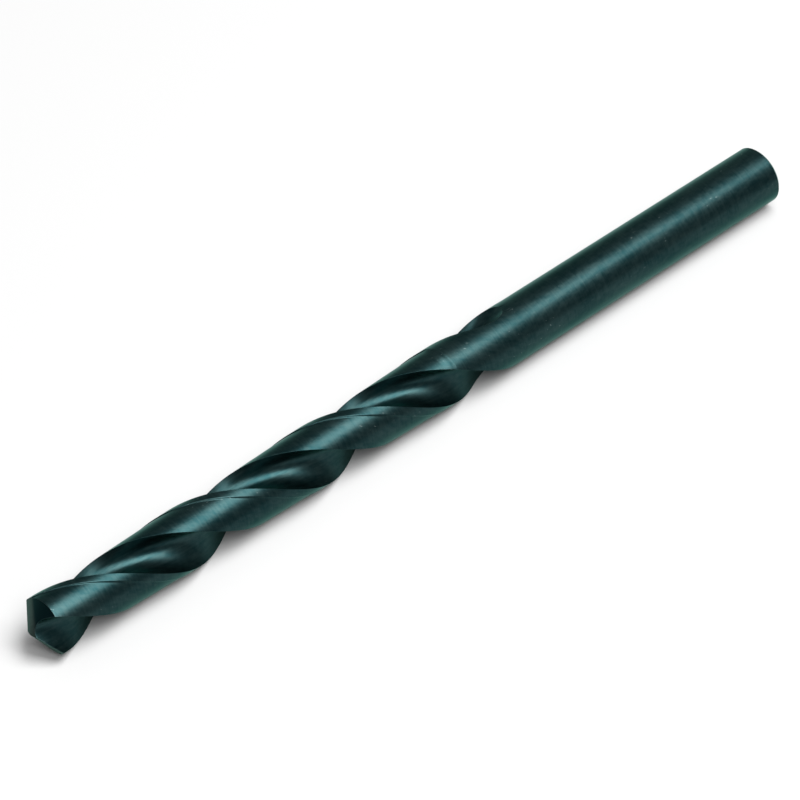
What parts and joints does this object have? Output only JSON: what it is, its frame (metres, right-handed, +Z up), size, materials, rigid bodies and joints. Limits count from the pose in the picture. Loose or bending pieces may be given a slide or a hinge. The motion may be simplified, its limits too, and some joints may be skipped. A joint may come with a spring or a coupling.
{
  "type": "twist drill bit",
  "caption": "Straight-shank twist drill: a ground high-speed steel rod with helical flutes, margins and a conical point, right-hand cut, for drilling metal",
  "frame": {"origin": "below the middle of the drill, on the surface that it lies on", "axes": "+X along the drill from the point to the shank end, +Z up, +Y across"},
  "size_m": [0.109, 0.007, 0.007],
  "materials": {
    "oxide_steel": "black steam-oxide finish on ground steel, semi-gloss"
  },
  "bodies": {
    "root": {"twist_drill": "oxide_steel"}
  },
  "joints": []
}
